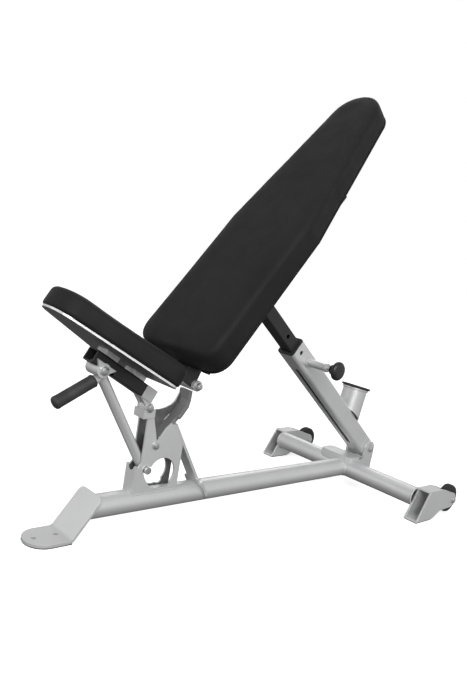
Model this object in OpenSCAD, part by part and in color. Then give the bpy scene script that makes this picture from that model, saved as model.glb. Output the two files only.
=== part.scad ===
// Adjustable weight bench: a three-footed steel base, a tilting seat on a
// notched prop, and a backrest on a telescopic strut with a pop pin.
// Millimetres. +Z is up, -X is the seat end, +X is the wheel end.

/* [Base] */
// Width over the two rear brackets
base_w = 650; // [560:1:760]
// Length from the front foot's tip to the centre of the cross tube
base_len = 1138; // [1060:1:1300]
// Diameter of the round frame tube
frame_tube_d = 58; // [50:1:60]
// Height of the frame tube's centre line above the floor
frame_tube_z = 63; // [60:1:68]
// Spacing of the two floor bolt holes in the front foot
floor_hole_gap = 54; // [48:1:60]
// Diameter of the floor bolt holes
floor_hole_d = 11; // [9:0.5:13]
// Diameter of a transport wheel
wheel_d = 88; // [76:1:92]

/* [Upright] */
// Width over the upright's two side plates
upright_w = 39; // [36:1:44]
// Height of the backrest's hinge
back_pivot_z = 362; // [350:1:376]
// Height of the seat's hinge
seat_pivot_z = 304.7; // [296:1:312]
// Length of the backrest's hinge over its two bolt heads' washers
hinge_span = 82; // [76:1:90]

/* [Backrest] */
// Length of the back pad
back_len = 946; // [820:1:1060]
// Width of the back pad at the hip
back_w = 298; // [260:1:330]
// Width of the back pad at the head
back_head_w = 158; // [140:1:200]
// Thickness of the back pad's cushion
back_pad_t = 60; // [50:1:70]
// Angle of the backrest above level, as modelled
back_tilt = 52.7; // [45:0.1:60]

/* [Strut] */
// Side of the square outer tube
strut_side = 60; // [56:0.5:62]
// Side of the square inner tube
strut_inner_side = 42; // [38:0.5:44]
// Length of the outer tube above its pivot
strut_outer_len = 556; // [500:1:558]
// Diameter of the rubber stop's post
stop_post_d = 78; // [60:1:82]
// Diameter of the pop pin's knob
knob_d = 54; // [40:1:60]

/* [Seat] */
// Length of the seat pad
seat_len = 326; // [280:1:380]
// Width of the seat pad at the hip
seat_w = 296; // [260:1:330]
// Width of the seat pad at the nose
seat_nose_w = 134; // [124:1:180]
// Thickness of the seat pad's cushion
seat_pad_t = 52; // [44:1:62]
// Angle of the seat above level, as modelled
seat_tilt = 29; // [24:0.5:30]
// Length of the rubber grip
grip_len = 108; // [96:1:130]
// Diameter of the rubber grip
grip_d = 30; // [26:1:34]

/* [Hidden] */

round_fn = 64;   // facets of an ordinary round
edge_fn = 32;    // facets of a small corner round
eps = 0.01;      // overlap of a cut with open air

// --- shared shapes -------------------------------------------------------

// A rectangle about the origin with true corner arcs
module rrect(w, h, r) {
    square([w - 2 * r, h], center = true);
    square([w, h - 2 * r], center = true);
    for (x = [-1, 1], y = [-1, 1])
        translate([x * (w / 2 - r), y * (h / 2 - r)]) circle(r = r, $fn = edge_fn);
}

// A round-ended bar from point a to point b, 2r wide
module bar(a, b, r) {
    d = b - a;
    translate(a) rotate(atan2(d.y, d.x)) translate([0, -r]) square([norm(d), 2 * r]);
    for (p = [a, b]) translate(p) circle(r = r, $fn = round_fn);
}

// A strip of thickness t along the points in path, mitred at each bend
module strip(path, t) {
    n = len(path) - 1;
    along_path = [for (i = [0:n]) path[min(i + 1, n)] - path[max(i - 1, 0)]];
    side = [for (d = along_path) [-d.y, d.x] / norm(d) * t / 2];
    polygon(concat([for (i = [0:n]) path[i] + side[i]], [for (i = [n:-1:0]) path[i] - side[i]]));
}

// Raises an outline drawn in the side view (x, z) into a plate centred on y
module side_plate(y, t) {
    translate([0, y + t / 2, 0]) rotate([90, 0, 0]) linear_extrude(t) children();
}

// A local frame at point p = [x, z] whose x axis rises at angle a
module along(p, a) {
    translate([p.x, 0, p.y]) rotate([0, -a, 0]) children();
}

// A cylinder across the bench at point p = [x, z], centred on y
module across(p, d, len, y = 0) {
    translate([p.x, y, p.y]) rotate([90, 0, 0]) cylinder(d = d, h = len, center = true, $fn = round_fn);
}

// A tube across the bench at point p
module across_tube(p, d, bore, len, y = 0) {
    difference() {
        across(p, d, len, y);
        across(p, bore, len + 2 * eps + 2, y);
    }
}

// A hexagon head or nut across the bench, centred on y
module hex_across(p, af, h, y) {
    translate([p.x, y, p.y]) rotate([90, 0, 0])
        cylinder(d = af / cos(30), h = h, center = true, $fn = 6);
}

// A square tube along x from x0 to x1, h high and w wide
module box_tube(x0, x1, w, h, wall, r) {
    translate([x0, 0, 0]) rotate([90, 0, 90]) linear_extrude(x1 - x0) difference() {
        rrect(w, h, r);
        rrect(w - 2 * wall, h - 2 * wall, max(r - wall, 1));
    }
}

// --- the base's stations -------------------------------------------------

sheet = 5;               // thickness of the folded plates
fit = 0.3;               // gap between faces that slide past each other
run_fit = 0.06;          // radial gap of a running bore
pad_h = 3;               // rubber under the feet
frame_wall = 3;

cross_x = 480.8;                          // centre of the cross tube
tip_x = cross_x - base_len;             // tip of the front foot
spine_front_x = tip_x + 180;            // front end of the spine
upright_x = tip_x + 409;                // rear edge of the upright
frame_top = frame_tube_z + frame_tube_d / 2;
frame_low = frame_tube_z - frame_tube_d / 2;

// the front foot
foot_w = 94;
foot_t = 7;
foot_bend_x = tip_x + 98;
foot_hole_x = tip_x + 52;
foot_rise = frame_top + 4 - pad_h - foot_t;
foot_run = spine_front_x - foot_bend_x - 18;
foot_slope = atan2(foot_rise, foot_run);

// the upright, measured from its rear edge
upright_depth = 131;
upright_wall = 5;
upright_top = 278;
plate_y = upright_w / 2 - upright_wall / 2;
knot = [upright_x - 45, 264];
tie_bolt = [upright_x - 96, 208];

// the hinges
back_pivot = [upright_x - 8, back_pivot_z];
seat_pivot = [upright_x - 129.5, seat_pivot_z];
strut_foot = [cross_x + 73, 130];
bolt_d = 12;
seat_sleeve_d = 24;
knuckle_w = 20;

// the seat's own frame: x along the seat from the hinge, z square to it
seat_dir = 180 - seat_tilt;
seat_rear = 48;          // hinge to the pad's rear edge
seat_under = 55;         // hinge to the underside of the seat plate
seat_plate_t = 5;
prop_arm = 175.8;        // hinge to the prop's sleeve along the seat
prop_rise = 10.5;        // the sleeve's height above that line, square to it

// Point p turned by angle a about point c
function turn(p, c, a) = c + [cos(a) * (p.x - c.x) - sin(a) * (p.y - c.y),
    sin(a) * (p.x - c.x) + cos(a) * (p.y - c.y)];

// A point of the seat's own frame in the bench's frame
function seat_point(p) = seat_pivot + [-p.x * cos(seat_tilt) + p.y * sin(seat_tilt),
    p.x * sin(seat_tilt) + p.y * cos(seat_tilt)];

// the seat prop: its hinge, and where its pin rests with the seat up and level
prop_pin_d = 18;
prop_at = [prop_arm, prop_rise];
prop_pivot = seat_point(prop_at);
prop_pivot_flat = turn(prop_pivot, seat_pivot, seat_tilt);
notch_up = [upright_x - 112, 146];
prop_line = notch_up - prop_pivot;
prop_len = norm(prop_line);
prop_dir = atan2(prop_line.y, prop_line.x);
prop_dir_flat = -43.5;
notch_low = [upright_x - 44, 103];

// the pin's place when the seat has dropped by share k of its travel
function pin_at(k) = turn(prop_pivot, seat_pivot, k * seat_tilt)
    + prop_len * [cos(prop_dir + k * (prop_dir_flat - prop_dir)),
        sin(prop_dir + k * (prop_dir_flat - prop_dir))];

// --- rear brackets -------------------------------------------------------

bracket_w = 45;
bracket_y = base_w / 2 - bracket_w / 2;
bracket_x = cross_x - 46;               // its lowest front corner
bracket_h = 93;
wheel_x = bracket_x + 197;
wheel_z = wheel_d / 2 + 5;
wheel_w = 24;
axle_d = 10;

module bracket_outline() {
    polygon([[bracket_x, pad_h], [bracket_x + 87, pad_h], [bracket_x + 128, 24],
        [wheel_x - 10, 26], [wheel_x - 10, 74], [bracket_x + 150, 86],
        [bracket_x + 120, bracket_h], [bracket_x + 52, bracket_h]]);
    translate([wheel_x - 10, 50]) circle(r = 24, $fn = round_fn);
}

module bracket_mouth() {
    polygon([[bracket_x - 60, pad_h + sheet], [bracket_x + 80, pad_h + sheet],
        [bracket_x + 122, 29], [wheel_x + 60, 29], [wheel_x + 60, 200],
        [bracket_x + 124, 200], [bracket_x + 124, bracket_h - sheet],
        [bracket_x + 40, bracket_h - sheet]]);
}

module bracket() {
    difference() {
        side_plate(0, bracket_w) bracket_outline();
        side_plate(0, bracket_w - 2 * sheet) bracket_mouth();
        translate([0, 0, -pad_h]) side_plate(0, bracket_w - 2 * sheet)
            translate([wheel_x - 52, 0]) square([120, 60]);
        across([wheel_x, wheel_z], axle_d, bracket_w + 2);
    }
}

module bracket_left() {
    color("silver") translate([0, bracket_y, 0]) bracket();
}

module bracket_right() {
    color("silver") translate([0, -bracket_y, 0]) bracket();
}

module rear_foot_pads() {
    color("dimgray") for (side = [-1, 1])
        translate([bracket_x + 3, side * bracket_y - bracket_w / 2 + 2, 0])
            cube([80, bracket_w - 4, pad_h]);
}

// --- wheels --------------------------------------------------------------

hub_d = 44;

module wheel_axles() {
    color("gray") for (side = [-1, 1]) {
        across([wheel_x, wheel_z], axle_d, bracket_w, side * bracket_y);
        for (face = [-1, 1])
            hex_across([wheel_x, wheel_z], 17, 6,
                side * bracket_y + face * (bracket_w / 2 + 3));
    }
}

module wheel_hub(side) {
    y = side * bracket_y;
    difference() {
        union() {
            across([wheel_x, wheel_z], hub_d, wheel_w - 4, y);
            across([wheel_x, wheel_z], 20, bracket_w - 2 * sheet - 2 * fit, y);
        }
        across([wheel_x, wheel_z], axle_d + 2 * run_fit, bracket_w, y);
    }
}

module wheel_tyre(side) {
    translate([wheel_x, side * bracket_y, wheel_z]) rotate([90, 0, 0])
        rotate_extrude($fn = round_fn * 2)
            translate([(wheel_d + hub_d) / 4, 0])
                rrect((wheel_d - hub_d) / 2, wheel_w, 6);
}

module wheel_hub_left() { color("lightgray") wheel_hub(1); }
module wheel_hub_right() { color("lightgray") wheel_hub(-1); }
module wheel_tyre_left() { color("black") wheel_tyre(1); }
module wheel_tyre_right() { color("black") wheel_tyre(-1); }

// --- base frame ----------------------------------------------------------

// The spine's round outside, to notch what is welded to it
module spine_space(x0, x1) {
    translate([x0, 0, frame_tube_z]) rotate([0, 90, 0])
        cylinder(d = frame_tube_d, h = x1 - x0, $fn = round_fn);
}

module spine_tube() {
    start = foot_bend_x - 40;
    color("silver") difference() {
        spine_space(start, cross_x);
        translate([start - 1, 0, frame_tube_z]) rotate([0, 90, 0])
            cylinder(d = frame_tube_d - 2 * frame_wall, h = cross_x - start + 2, $fn = round_fn);
        along([foot_bend_x - 1, pad_h + 0.5], foot_slope)
            translate([-200, -foot_w, 0]) cube([400, 2 * foot_w, 200]);
        across([cross_x, frame_tube_z], frame_tube_d, 2 * frame_tube_d);
    }
}

module cross_tube() {
    color("silver") across_tube([cross_x, frame_tube_z], frame_tube_d,
        frame_tube_d - 2 * frame_wall, base_w - 2 * bracket_w);
}

// The foot's plan: a tongue with a rounded tip
module foot_plan(margin = 0) {
    r = foot_w / 2 - margin;
    translate([tip_x + foot_w / 2, 0]) circle(r = r, $fn = round_fn);
    translate([tip_x + foot_w / 2, -r]) square([foot_bend_x - tip_x - foot_w / 2, 2 * r]);
}

// A folded plate: a flat tongue and a web that closes the spine's end
module front_foot() {
    web = norm([foot_rise, foot_run]) + 12;
    color("silver") difference() {
        union() {
            translate([0, 0, pad_h]) linear_extrude(foot_t) foot_plan();
            intersection() {
                along([foot_bend_x - 1, pad_h + 0.5], foot_slope) linear_extrude(foot_t)
                    rrect(2 * web, foot_w - 1, 18);
                translate([foot_bend_x - 3, -foot_w, pad_h + 0.5]) cube([300, 2 * foot_w, 300]);
            }
        }
        for (s = [-1, 1]) translate([foot_hole_x + s * floor_hole_gap / 2, 0, -1])
            cylinder(d = floor_hole_d, h = 40, $fn = edge_fn);
    }
}

module front_foot_pad() {
    color("dimgray") difference() {
        linear_extrude(pad_h) foot_plan(2);
        for (s = [-1, 1]) translate([foot_hole_x + s * floor_hole_gap / 2, 0, -1])
            cylinder(d = floor_hole_d, h = 40, $fn = edge_fn);
    }
}

// --- upright -------------------------------------------------------------

cut_c = [upright_x - 64, 133];
cut_r = 40;
column_x = upright_x - 112;             // rear face of the front column

module upright_outline() {
    front = upright_x - upright_depth;
    polygon([[front - 12, frame_tube_z], [front - 12, 150], [front, 164],
        [front, upright_top], [column_x, upright_top], [tie_bolt.x + 3, tie_bolt.y + 9],
        [upright_x - 70, 250], [knot.x - 10, knot.y - 2], knot + [4, -8],
        [upright_x - 8, 208], [upright_x - 8, frame_tube_z]]);
}

// The way the prop's pin takes from seat up to seat level, and the spare notch
module pin_way() {
    steps = 6;
    low = pin_at(1);
    r = prop_pin_d / 2 + 1.6;
    way = low - notch_up;
    out = (r - 0.2) * [way.y, -way.x] / norm(way);
    for (at = [notch_up, low, notch_low]) translate(at) circle(r = r, $fn = round_fn);
    translate(cut_c) circle(r = cut_r, $fn = round_fn);
    polygon(concat([for (k = [0:steps]) pin_at(k / steps) + out],
        [low + [6, 4], cut_c + [0, -20], cut_c + [-8, 20], notch_up + [6, 7]]));
    polygon([notch_low + [-6, 6], notch_low + [6, 6], cut_c + [20, -6], cut_c + [-6, -6]]);
}

// The far plate's shoulder, swept up from the collar along the horn
module far_shoulder() {
    difference() {
        polygon([[column_x - 4, upright_top - 30], [column_x - 4, upright_top + 11], [upright_x - 70, 290],
            [upright_x - 53, 293.5], [upright_x - 37, 300], [upright_x - 27, 308.5], [upright_x - 18, 326],
            [upright_x - 14, 334], horn_path[5], horn_path[4], horn_path[3], horn_path[2], horn_path[1],
            [upright_x - 84, 216]]);
        strip([horn_path[1], horn_path[2], horn_path[3], horn_path[4], horn_path[5], horn_path[6]],
            horn_t + 1.2);
    }
}

module upright_plate(side) {
    difference() {
        side_plate(side * plate_y, upright_wall) difference() {
            union() {
                upright_outline();
                if (side > 0) far_shoulder();
            }
            pin_way();
        }
        in_brace() translate([0, -upright_w, -60])
            cube([brace_len + 6, 2 * upright_w, 60 + brace_t + 0.2]);
        translate([column_x - 40, -upright_w - 2, upright_top - 1])
            cube([44, 2 * upright_w + 4, 40]);
        spine_space(spine_front_x, cross_x);
        across(tie_bolt, bolt_d - 2, upright_w * 2);
    }
}

module upright_plate_left() { color("silver") upright_plate(1); }
module upright_plate_right() { color("silver") upright_plate(-1); }

module upright_toe_plate() {
    front = upright_x - upright_depth - 12;
    color("silver") difference() {
        translate([front - 4, -upright_w / 2, frame_tube_z]) cube([4, upright_w, 95]);
        spine_space(spine_front_x, cross_x);
        // a dip for the prop, which comes down over this edge with the seat level
        along(prop_pivot_flat, prop_dir_flat) rotate([0, 90, 0])
            cylinder(d = prop_tube_d + 4, h = prop_len, $fn = round_fn);
    }
}

// A band round the column's head, with the seat hinge's knuckle on top
module upright_collar() {
    front = upright_x - upright_depth - 15;
    depth = column_x - front;
    height = 22;
    color("silver") difference() {
        union() {
            difference() {
                translate([front, -upright_w / 2 - 1, upright_top])
                    cube([depth, upright_w + 2, height]);
                across(seat_pivot, seat_sleeve_d + 1.2, 100);
            }
            side_plate(0, knuckle_w) {
                translate(seat_pivot) circle(d = seat_sleeve_d, $fn = round_fn);
                translate([seat_pivot.x - seat_sleeve_d / 2, upright_top + 8])
                    square([seat_sleeve_d, seat_pivot.y - upright_top - 8]);
            }
        }
        translate([front + 5, -upright_w / 2 + upright_wall, upright_top - 1])
            cube([depth, upright_w - 2 * upright_wall, 10]);
        across(seat_pivot, bolt_d, 100);
    }
}

brace_t = 8;
brace_foot = [upright_x + 98, 52];
brace_line = knot + [9, -4] - brace_foot;
brace_len = norm(brace_line);

module in_brace() {
    along(brace_foot, atan2(brace_line.y, brace_line.x)) children();
}

// A flat bar from the knot to the spine, forked over the tube at its foot
module upright_brace() {
    fork = frame_tube_d + 12;
    color("silver") difference() {
        in_brace() union() {
            translate([40, -upright_w / 2, 0]) cube([brace_len - 40, upright_w, brace_t]);
            translate([32, 0, 0]) linear_extrude(brace_t) rrect(64, fork, 12);
        }
        spine_space(spine_front_x, cross_x);
    }
}

module upright_tie_bolt() {
    color("gray") {
        across(tie_bolt, bolt_d - 2, upright_w);
        for (s = [-1, 1]) hex_across(tie_bolt, 17, 6, s * (upright_w / 2 + 3));
    }
}

// --- horn: the bent bar that carries the backrest's hinge ----------------

horn_t = 10;
eye_d = 28;
horn_path = [[upright_x - 84, 222], [upright_x - 62, 247], [upright_x - 43, 265],
    [upright_x - 27, 283], [upright_x - 13, 303], [upright_x - 9.5, 320],
    [upright_x - 9, back_pivot_z - eye_d / 2 - 4]];

module horn() {
    inner = upright_w - 2 * upright_wall - 0.2;
    bend = [for (i = [3:6]) horn_path[i]];
    root = [for (i = [0:3]) horn_path[i]];
    color("dimgray") difference() {
        union() {
            side_plate(0, inner) strip(concat(root, [horn_path[4]]), horn_t);
            side_plate(0, upright_w) strip(concat([(horn_path[2] + horn_path[3]) / 2], bend), horn_t + 0.4);
        }
        across(back_pivot, eye_d, 100);
    }
}

module horn_eye() {
    color("lightgray") across_tube(back_pivot, eye_d, bolt_d, upright_w);
}

module back_pivot_bolt() {
    color("gray") {
        across(back_pivot, bolt_d, hinge_span);
        for (s = [-1, 1]) {
            across(back_pivot, 24, 2, s * (hinge_span / 2 + 1));
            hex_across(back_pivot, 17, 7, s * (hinge_span / 2 + 5.5));
        }
    }
}

// --- junction at the rear ------------------------------------------------

ear_t = 8;
ear_y = strut_side / 2 + fit + 0.7 + ear_t / 2;
plinth_w = 2 * ear_y + ear_t;
plinth_top = frame_top + 1;

saddle_top = frame_top + 12;
saddle_far = 88;         // the saddle's reach along the cross tube on the far side

// A saddle over the cross tube, with a lower pad that carries the strut's ears
module junction_plinth() {
    x0 = cross_x - 26;
    x1 = strut_foot.x + 32;
    deep = 62;
    low = frame_tube_z - 14;
    color("silver") difference() {
        union() {
            translate([(x0 + x1) / 2 + 1, 0, low]) linear_extrude(plinth_top - low)
                rrect(x1 - x0 - 2, plinth_w, 14);
            translate([x0 + deep / 2, (saddle_far - plinth_w / 2 + 0.6) / 2, low])
                linear_extrude(saddle_top - low)
                    rrect(deep, saddle_far + plinth_w / 2 - 0.6, 16);
        }
        across([cross_x, frame_tube_z], frame_tube_d, 4 * plinth_w);
        spine_space(x0 - 10, cross_x);
    }
}

module strut_ears() {
    color("silver") for (s = [-1, 1]) side_plate(s * ear_y, ear_t) difference() {
        union() {
            translate(strut_foot) circle(r = 24, $fn = round_fn);
            translate([strut_foot.x - 24, plinth_top]) square([48, strut_foot.y - plinth_top]);
        }
        translate(strut_foot) circle(d = bolt_d, $fn = round_fn);
    }
}

module strut_foot_bolt() {
    color("gray") {
        across(strut_foot, bolt_d, plinth_w);
        for (s = [-1, 1]) hex_across(strut_foot, 19, 8, s * (plinth_w / 2 + 4));
    }
}

// --- backrest: x along the pad from its hinge, z square to it ------------

back_gap = 21;           // hinge to the pad's lower end
back_under = 50.5;       // hinge to the board's underside
board_t = 12;
rail_w = 30;
rail_h = 38;
slot_plate_t = 5;
slot_plate_y = strut_side / 2 + 1.5 + slot_plate_t / 2;
rail_y = slot_plate_y + slot_plate_t / 2 + rail_w / 2;
rail_x0 = 34;
rail_x1 = back_len - 296;
strut_top_r = 301;       // hinge to the strut's upper pin
strut_top_a = 3.7;       // its bearing off the pad's line
strut_top_local = strut_top_r * [cos(strut_top_a), sin(strut_top_a)];
top_pin_d = 16;
slot_r = top_pin_d / 2 + 7;   // loose, as the pin leaves the slot's line on the way
slot_travel = 50;
slot_sink = 3.5;          // the slot's line below the pin's place at full incline
stub_gap = upright_w / 2 + 0.5;
stub_len = hinge_span / 2 - stub_gap - fit;
screw_d = 8;
screw_x = [rail_x0 + 40, strut_top_local.x + 80, rail_x1 - 40];

module in_back() {
    along(back_pivot, back_tilt) children();
}

// The pad's plan: full width to the waist, then tapered to a round head
module back_plan(margin = 0) {
    hip_r = 50;
    waist_r = 70;
    head_r = back_head_w / 2;
    hull() {
        for (s = [-1, 1]) {
            translate([back_gap + hip_r, s * (back_w / 2 - hip_r)])
                circle(r = hip_r - margin, $fn = edge_fn);
            translate([back_gap + back_len * 0.46, s * (back_w / 2 - waist_r - 4)])
                circle(r = waist_r - margin, $fn = edge_fn);
        }
        translate([back_gap + back_len - head_r, 0]) circle(r = head_r - margin, $fn = round_fn);
    }
}

module back_cushion() {
    color("black") in_back() translate([0, 0, back_under + board_t])
        linear_extrude(back_pad_t) back_plan();
}

module back_board() {
    color("saddlebrown") in_back() difference() {
        translate([0, 0, back_under]) linear_extrude(board_t) back_plan(5);
        for (x = screw_x, s = [-1, 1]) translate([x, s * rail_y, back_under - 1])
            cylinder(d = screw_d, h = board_t - 2, $fn = edge_fn);
    }
}

module back_rails() {
    color("dimgray") in_back() difference() {
        for (s = [-1, 1]) translate([0, s * rail_y, back_under - rail_h / 2])
            box_tube(rail_x0, rail_x1, rail_w, rail_h, 3, 4);
        for (x = screw_x, s = [-1, 1]) translate([x, s * rail_y, 0])
            cylinder(d = screw_d, h = back_under + 1, $fn = edge_fn);
    }
}

module back_pad_screws() {
    color("gray") in_back() for (x = screw_x, s = [-1, 1]) translate([x, s * rail_y, 0]) {
        translate([0, 0, back_under - rail_h])
            cylinder(d = screw_d, h = rail_h + board_t - 4, $fn = edge_fn);
        translate([0, 0, back_under - rail_h - 4]) cylinder(d = 14, h = 4, $fn = edge_fn);
    }
}

// The two short tubes that turn on the hinge's bolt
module back_hinge_sleeve() {
    color("lightgray") for (s = [-1, 1])
        across_tube(back_pivot, eye_d, bolt_d + 2 * run_fit, stub_len, s * (stub_gap + stub_len / 2));
}

// Two webs and a cap plate that hang the hinge's tubes under the board
module back_hinge_bracket() {
    web = 8;
    cap_w = 2 * rail_y - rail_w;
    color("dimgray") in_back() difference() {
        union() {
            for (s = [-1, 1]) side_plate(s * (stub_gap + web / 2 + 2), web)
                polygon([[-11, 6], [-16, back_under - 6], [120, back_under - 6], [120, 34],
                    [40, 12], [11, 4]]);
            translate([-16, -cap_w / 2 + 8, back_under - 6]) cube([50, cap_w - 16, 6]);
            translate([34, -cap_w / 2, back_under - 6]) cube([86, cap_w, 6]);
        }
        rotate([90, 0, 0]) cylinder(d = eye_d, h = 300, center = true, $fn = round_fn);
    }
}

// The two plates whose slots guide the strut's upper pin
module back_slot_plates() {
    c = strut_top_local - [0, slot_sink];
    r = slot_r + 4;
    color("dimgray") in_back() for (s = [-1, 1]) side_plate(s * slot_plate_y, slot_plate_t)
        difference() {
            union() {
                bar(c - [slot_travel, 0], c, r);
                translate([c.x - slot_travel - 30, c.y])
                    square([slot_travel + 60, back_under - c.y]);
            }
            bar(c - [slot_travel, 0], c, slot_r);
        }
}

module back_stop_beam() {
    low = stop_top_flat.y + 1 - back_pivot.y;
    wide = 44;
    color("dimgray") in_back() translate([stop_beam_x - 35, -wide / 2, low]) difference() {
        cube([70, wide, back_under - low]);
        translate([sheet, -1, sheet]) cube([70 - 2 * sheet, wide + 2, back_under - low - 2 * sheet]);
    }
}

// --- strut: x along the strut from its foot, z square to it, upward ------

strut_top = back_pivot + strut_top_r * [cos(back_tilt + strut_top_a), sin(back_tilt + strut_top_a)];
strut_line = strut_top - strut_foot;
strut_len = norm(strut_line);
strut_dir = atan2(strut_line.y, strut_line.x);
strut_wall = 4;
strut_end = 15;
inner_wall = 4;
inner_end = 10;
foot_bush_d = 20;

// where the strut's upper pin lies when the backrest is level
strut_top_flat = back_pivot + strut_top_local;
strut_flat_line = strut_top_flat - strut_foot;
strut_flat_len = norm(strut_flat_line);
strut_flat_dir = atan2(strut_flat_line.y, strut_flat_line.x);
hole_pitch = (strut_len - strut_flat_len) / 2;
inner_low = strut_len - strut_flat_len + 30;   // the inner tube's low end, as modelled
inner_len = strut_len - inner_low;

module in_strut() {
    along(strut_foot, strut_dir) mirror([0, 0, 1]) children();
}

// the pop pin's place on the outer tube
pop_x = strut_outer_len - 66;
pop_hole_d = 11;
pop_bore = 12;
pop_d = 22;
pop_len = 76;
pop_pull = 12;
pop_collar = 10;
pin_y = strut_side / 2;

mouth_hole_d = 13;
mouth_hole_x = strut_outer_len - 22;

// The open hole near the mouth, on the pop pin's side
module mouth_hole() {
    translate([mouth_hole_x, 0, 0]) rotate([90, 0, 0])
        cylinder(d = mouth_hole_d, h = strut_side, $fn = round_fn);
}

module strut_outer_tube() {
    slot_len = strut_outer_len - 150;
    color("silver") in_strut() difference() {
        box_tube(-strut_end, strut_outer_len, strut_side, strut_side, strut_wall, 8);
        rotate([90, 0, 0]) cylinder(d = foot_bush_d, h = 200, center = true, $fn = round_fn);
        translate([70, 0, -strut_side]) linear_extrude(strut_side)
            bar([0, 0], [slot_len, 0], 8);
        translate([pop_x, 0, 0]) rotate([90, 0, 0])
            cylinder(d = pop_hole_d + 1, h = strut_side, $fn = round_fn);
        mouth_hole();
    }
}

module strut_foot_bush() {
    color("black") across_tube(strut_foot, foot_bush_d, bolt_d + 2 * run_fit, strut_side + 0.8);
}

module strut_foot_plug() {
    color("black") in_strut() translate([-strut_end - 3, 0, 0]) rotate([90, 0, 90])
        linear_extrude(3) rrect(strut_side - 1, strut_side - 1, 8);
}

// The nylon guide pressed into the outer tube's mouth
module strut_mouth_bush() {
    s = strut_side - 2 * strut_wall;
    bore = strut_inner_side + 2 * fit;
    color("black") in_strut() {
        difference() {
            union() {
                translate([strut_outer_len - 90, 0, 0]) rotate([90, 0, 90])
                    linear_extrude(90) rrect(s, s, 4);
                translate([strut_outer_len, 0, 0]) rotate([90, 0, 90])
                    linear_extrude(4) rrect(strut_side, strut_side, 8);
            }
            translate([strut_outer_len - 91, 0, 0]) rotate([90, 0, 90])
                linear_extrude(96) rrect(bore, bore, 3);
            translate([pop_x, 0, 0]) rotate([90, 0, 0])
                cylinder(d = pop_hole_d + 1, h = strut_side, $fn = round_fn);
            mouth_hole();
        }
    }
}

// the rubber stop on the strut's back, upright when the backrest is level
stop_top_flat = [cross_x - 54, 321];
swing = strut_flat_dir - strut_dir;
stop_cap_h = 7;
stop_flange_h = 7;
stop_beam_x = stop_top_flat.x - back_pivot.x;

module in_stop() {
    p = turn(stop_top_flat, strut_foot, -swing);
    translate([p.x, 0, p.y]) rotate([0, swing, 0]) children();
}

module stop_post() {
    base = stop_cap_h + stop_flange_h;
    color("silver") difference() {
        in_stop() translate([0, 0, -base - 240]) cylinder(d = stop_post_d, h = 240, $fn = round_fn);
        in_stop() translate([0, 0, -base - 250])
            cylinder(d = stop_post_d - 8, h = 280, $fn = round_fn);
        in_strut() translate([-400, -150, strut_side / 2 - 600]) cube([1600, 300, 600]);
    }
}

module stop_flange() {
    color("silver") in_stop() translate([0, 0, -stop_cap_h - stop_flange_h])
        cylinder(d = stop_post_d + 6, h = stop_flange_h, $fn = round_fn);
}

module stop_cap() {
    color("black") in_stop() translate([0, 0, -stop_cap_h])
        cylinder(d = stop_post_d + 16, h = stop_cap_h, $fn = round_fn);
}

module in_pop() {
    in_strut() translate([pop_x, -pin_y, 0]) rotate([90, 0, 0]) children();
}

module pop_housing() {
    color("silver") in_pop() difference() {
        cylinder(d = pop_d, h = pop_len, $fn = round_fn);
        translate([0, 0, -1]) cylinder(d = pop_hole_d + 0.4, h = pop_len + 2, $fn = round_fn);
        translate([0, 0, 6]) cylinder(d = pop_d - 5, h = pop_len - 12, $fn = round_fn);
    }
}

module pop_spring() {
    from = pop_collar + 4 + pop_pull;
    color("gray") in_pop() translate([0, 0, from]) difference() {
        cylinder(d = pop_d - 5.4, h = pop_len - 6 - from, $fn = round_fn);
        translate([0, 0, -1]) cylinder(d = pop_hole_d + 1, h = pop_len, $fn = round_fn);
    }
}

// The pin as pulled: its tip stands just clear of the inner tube
module pop_plunger() {
    tip = (strut_side - strut_inner_side) / 2;
    color("gray") in_pop() {
        translate([0, 0, -tip + 1]) cylinder(d = pop_hole_d, h = tip + pop_len + pop_pull + 10,
            $fn = round_fn);
        translate([0, 0, pop_collar + pop_pull]) cylinder(d = pop_d - 6, h = 4, $fn = round_fn);
    }
}

module pop_knob() {
    neck = 14;
    color("black") in_pop() translate([0, 0, pop_len + pop_pull + 1]) difference() {
        union() {
            cylinder(d = 28, h = neck + 2, $fn = round_fn);
            translate([0, 0, neck]) cylinder(d = knob_d, h = 18, $fn = round_fn);
        }
        translate([0, 0, -1]) cylinder(d = pop_hole_d, h = 11.2, $fn = round_fn);
    }
}

module strut_inner_tube() {
    color("black") in_strut() difference() {
        box_tube(strut_len - inner_len, strut_len + inner_end,
            strut_inner_side, strut_inner_side, inner_wall, 5);
        translate([strut_len, 0, 0]) rotate([90, 0, 0])
            cylinder(d = top_pin_d, h = 200, center = true, $fn = round_fn);
        for (i = [0:2]) translate([pop_x + i * hole_pitch, 0, 0]) rotate([90, 0, 0])
            cylinder(d = pop_hole_d + 2, h = strut_side, $fn = round_fn);
    }
}

module strut_inner_plug() {
    s = strut_inner_side - 2 * inner_wall;
    color("black") in_strut() translate([strut_len - inner_len - 3, 0, 0]) rotate([90, 0, 90]) {
        linear_extrude(3) rrect(strut_inner_side, strut_inner_side, 5);
        linear_extrude(14) rrect(s, s, 2);
    }
}

module strut_top_pin() {
    color("gray") across(strut_top, top_pin_d, 2 * slot_plate_y + slot_plate_t - 1);
}

// --- seat: x along the seat from its hinge, z square to it, upward -------

module in_seat() {
    translate([seat_pivot.x, 0, seat_pivot.y]) rotate([0, seat_tilt, 0]) mirror([1, 0, 0]) children();
}

module seat_plan(margin = 0) {
    hip_r = 26;
    nose_r = seat_nose_w / 2 - 5;
    hull() for (s = [-1, 1]) {
        translate([seat_rear + hip_r, s * (seat_w / 2 - hip_r)])
            circle(r = hip_r - margin, $fn = edge_fn);
        translate([seat_rear + seat_len - nose_r, s * (seat_nose_w / 2 - nose_r)])
            circle(r = nose_r - margin, $fn = edge_fn);
    }
}

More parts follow.
